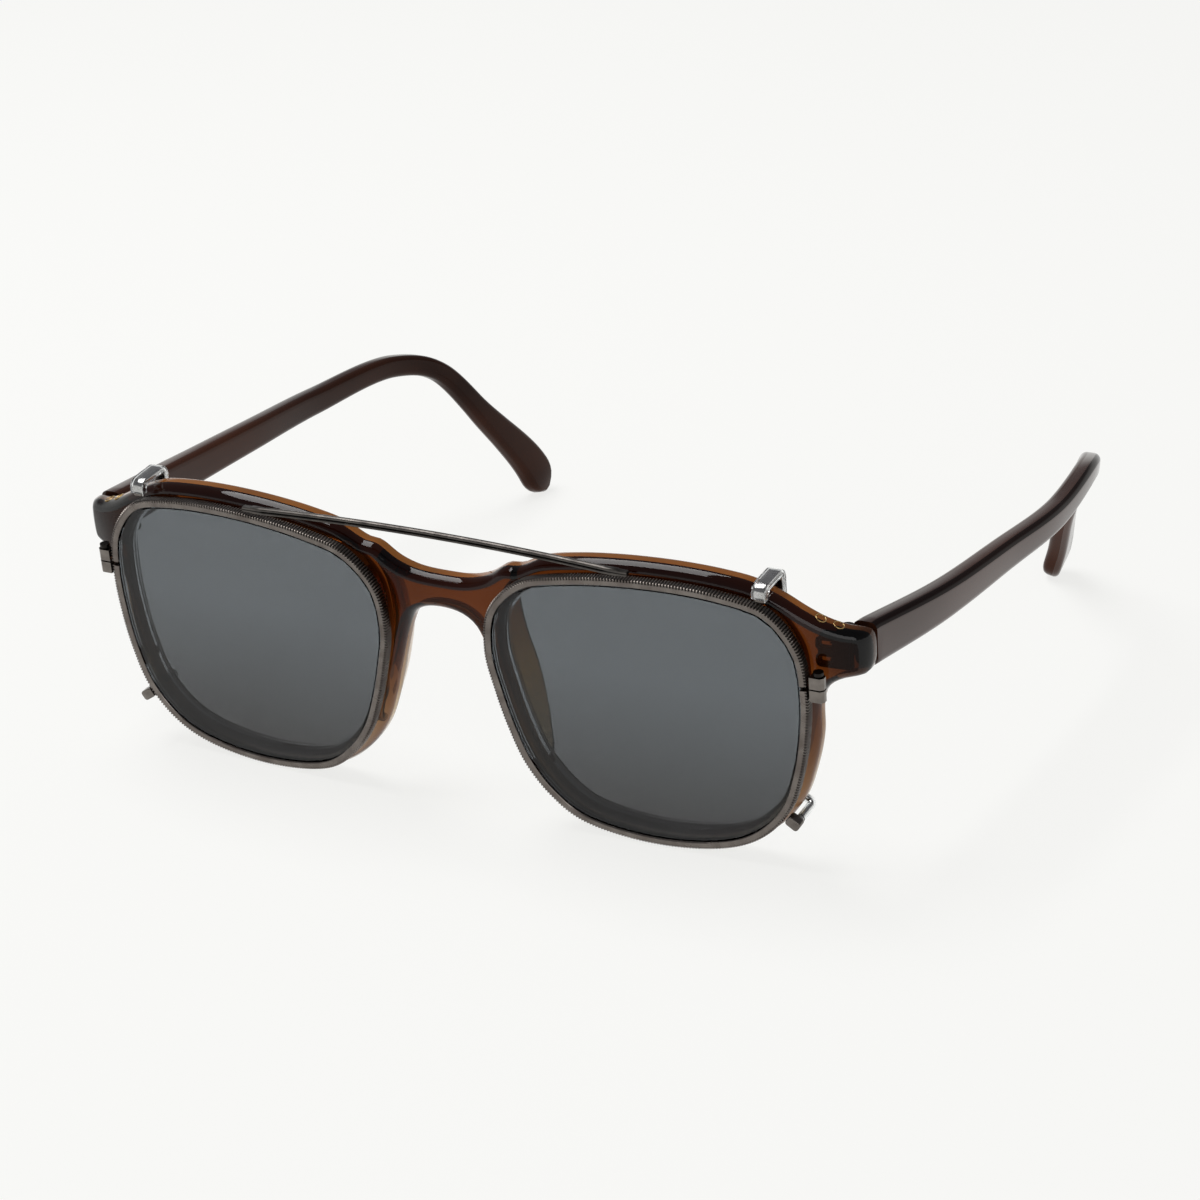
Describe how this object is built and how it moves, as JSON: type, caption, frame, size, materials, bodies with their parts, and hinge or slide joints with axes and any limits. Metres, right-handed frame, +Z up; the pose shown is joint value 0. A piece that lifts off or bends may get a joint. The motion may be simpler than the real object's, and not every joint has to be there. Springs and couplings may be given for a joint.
{
  "type": "spectacles with clip-on sunglass",
  "caption": "Acetate spectacles with folding temples and a metal clip-on sunglass that hooks over the front by sleeved arms.",
  "frame": {"origin": "on the surface the spectacles stand on, under the middle of their bounding box", "axes": "+X to the wearer's left, +Y from the front back along the temples, +Z up; the front leans with the spectacles resting on their rims and temple tips"},
  "size_m": [0.1444, 0.1394, 0.048],
  "materials": {
    "acetate_brown": "polished translucent brown acetate",
    "acetate_dark": "polished dark brown acetate over a core wire",
    "clear_lens": "clear, polished",
    "tinted_lens": "neutral grey tint, polished",
    "gunmetal": "satin gunmetal plating, milled edge on the rims",
    "silver": "bright plated",
    "hinge_steel": "brushed",
    "clear_sleeve": "clear soft plastic"
  },
  "bodies": {
    "front": {"front_frame": "acetate_brown", "nose_pad_left": "acetate_brown", "nose_pad_right": "acetate_brown", "lens_left": "clear_lens", "lens_right": "clear_lens", "front_hinge_left": "hinge_steel", "front_hinge_right": "hinge_steel", "hinge_screw_left": "silver", "hinge_screw_right": "silver"},
    "temple_left": {"temple_left": "acetate_dark", "temple_hinge_left": "hinge_steel", "temple_core_left": "hinge_steel"},
    "temple_right": {"temple_right": "acetate_dark", "temple_hinge_right": "hinge_steel", "temple_core_right": "hinge_steel"},
    "clip": {"brow_bar": "gunmetal", "clip_rim_left": "gunmetal", "clip_rim_right": "gunmetal", "clip_lens_left": "tinted_lens", "clip_lens_right": "tinted_lens", "rim_lock_upper_left": "gunmetal", "rim_lock_upper_right": "gunmetal", "rim_lock_lower_left": "gunmetal", "rim_lock_lower_right": "gunmetal", "rim_lock_screw_left": "silver", "rim_lock_screw_right": "silver", "upper_hook_left": "silver", "upper_hook_right": "silver", "upper_hook_sleeve_left": "clear_sleeve", "upper_hook_sleeve_right": "clear_sleeve", "lower_hook_block_left": "gunmetal", "lower_hook_block_right": "gunmetal", "lower_hook_left": "silver", "lower_hook_right": "silver", "lower_hook_sleeve_left": "clear_sleeve", "lower_hook_sleeve_right": "clear_sleeve"}
  },
  "joints": [
    {"name": "temple_left_fold", "type": "hinge", "parent": "front", "child": "temple_left", "pos_m": [0.0624, -0.05547, 0.03669], "axis": [0, -0.1174, 0.9931], "range_deg": [0, 84]},
    {"name": "temple_right_fold", "type": "hinge", "parent": "front", "child": "temple_right", "pos_m": [-0.0624, -0.05547, 0.03669], "axis": [0, 0.1174, -0.9931], "range_deg": [0, 74]},
    {"name": "clip_off", "type": "slide", "parent": "front", "child": "clip", "axis": [0, -1, 0], "range_m": [0, 0.03], "deforming": ["upper_hook_left", "upper_hook_right", "upper_hook_sleeve_left", "upper_hook_sleeve_right", "lower_hook_left", "lower_hook_right", "lower_hook_sleeve_left", "lower_hook_sleeve_right"]}
  ]
}
